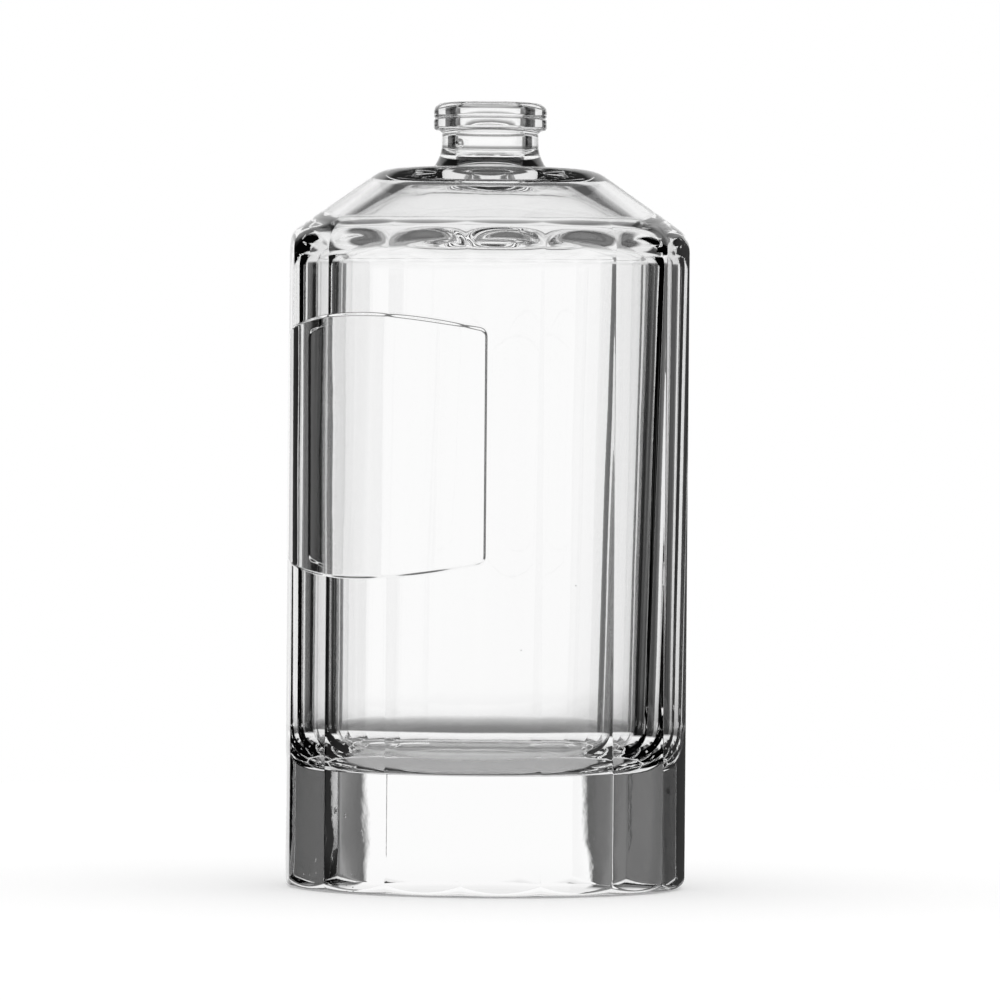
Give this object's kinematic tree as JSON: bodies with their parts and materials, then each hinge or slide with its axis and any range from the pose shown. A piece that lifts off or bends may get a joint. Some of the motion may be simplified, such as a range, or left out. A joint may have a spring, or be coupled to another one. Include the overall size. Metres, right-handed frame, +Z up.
{
  "type": "glass perfume bottle",
  "caption": "Clear glass perfume bottle with a faceted body, cone shoulder, heavy base, raised label panel and an open crimp neck.",
  "frame": {"origin": "on the bottle's axis at the height of the surface that it stands on", "axes": "+Z up along the bottle's axis, to the open neck; -Y is the front, square to one facet; the label panel's middle faces between -X and -Y, 45 degrees from the front"},
  "size_m": [0.0529, 0.0529, 0.1037],
  "materials": {
    "glass": "clear fire-polished flint glass, colourless, with a smooth glossy surface"
  },
  "bodies": {
    "root": {"glass_bottle": "glass"}
  },
  "joints": []
}
